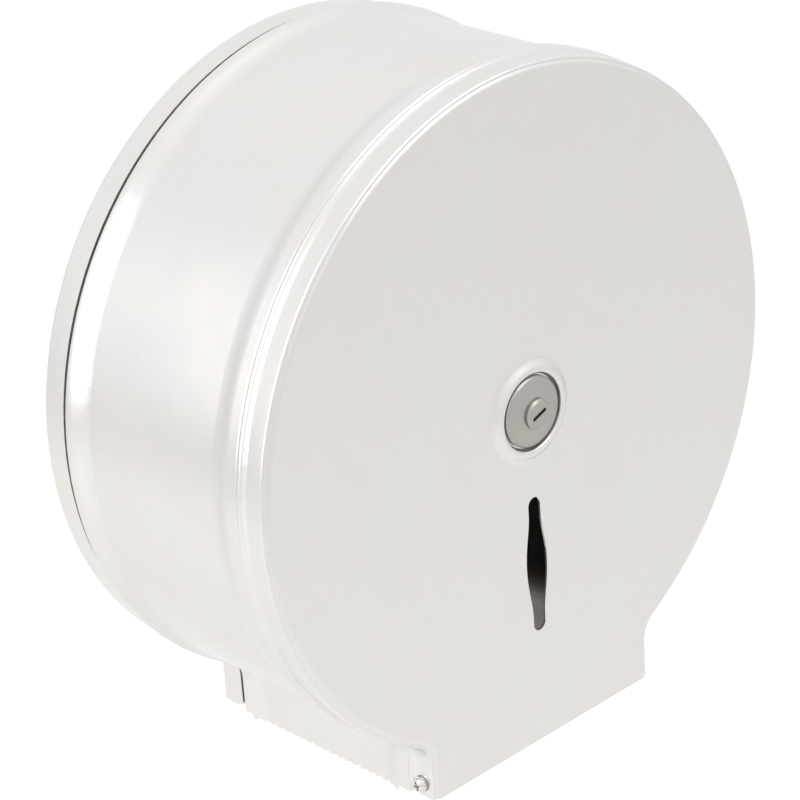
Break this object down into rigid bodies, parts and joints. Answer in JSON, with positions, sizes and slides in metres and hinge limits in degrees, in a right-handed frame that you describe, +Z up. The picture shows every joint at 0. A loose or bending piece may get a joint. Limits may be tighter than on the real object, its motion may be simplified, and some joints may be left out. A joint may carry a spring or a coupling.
{
  "type": "jumbo toilet roll dispenser",
  "caption": "Wall-mounted drum for a jumbo toilet roll: spindle with turning core sleeve, lockable front cover that swings down, sight slot and toothed paper mouth.",
  "frame": {"origin": "centre of the four wall holes on the rear face, on the drum's axis", "axes": "+Z up, the front cover faces -Y and the wall is the plane Y = 0, +X to the right seen from the front"},
  "size_m": [0.2702, 0.1268, 0.2796],
  "materials": {
    "satin_stainless": "satin-brushed stainless steel sheet, fine grain",
    "rivet_steel": "plain stainless steel",
    "screw_steel": "bright stainless steel",
    "lock_nickel": "matt nickel-plated zinc",
    "black_nylon": "matt moulded nylon",
    "grey_plastic": "matt moulded plastic"
  },
  "bodies": {
    "housing": {"back_plate": "satin_stainless", "body_shell": "satin_stainless", "shell_rivets": "rivet_steel", "spindle_flange": "satin_stainless", "spindle_rivets": "rivet_steel", "spindle_tube": "satin_stainless", "thrust_washer": "black_nylon", "spindle_cap": "satin_stainless", "hinge_screws": "screw_steel", "hinge_nuts": "screw_steel"},
    "cover": {"front_cover": "satin_stainless", "hinge_bushes": "screw_steel", "lock_case": "lock_nickel", "lock_washer": "screw_steel", "lock_nut": "lock_nickel"},
    "lock": {"lock_plug": "lock_nickel", "plug_clip": "screw_steel", "lock_cam": "screw_steel", "cam_washer": "screw_steel", "cam_screw": "screw_steel"},
    "core": {"core_sleeve": "grey_plastic"}
  },
  "joints": [
    {"name": "cover_hinge", "type": "hinge", "parent": "housing", "child": "cover", "pos_m": [0, -0.1144, -0.13636], "axis": [1, 0, 0], "range_deg": [0, 90]},
    {"name": "lock_turn", "type": "hinge", "parent": "cover", "child": "lock", "pos_m": [0, -0.12, 0], "axis": [0, 1, 0], "range_deg": [0, 90]},
    {"name": "core_spin", "type": "hinge", "parent": "housing", "child": "core", "pos_m": [0, -0.06, 0], "axis": [0, 1, 0], "continuous": true}
  ]
}
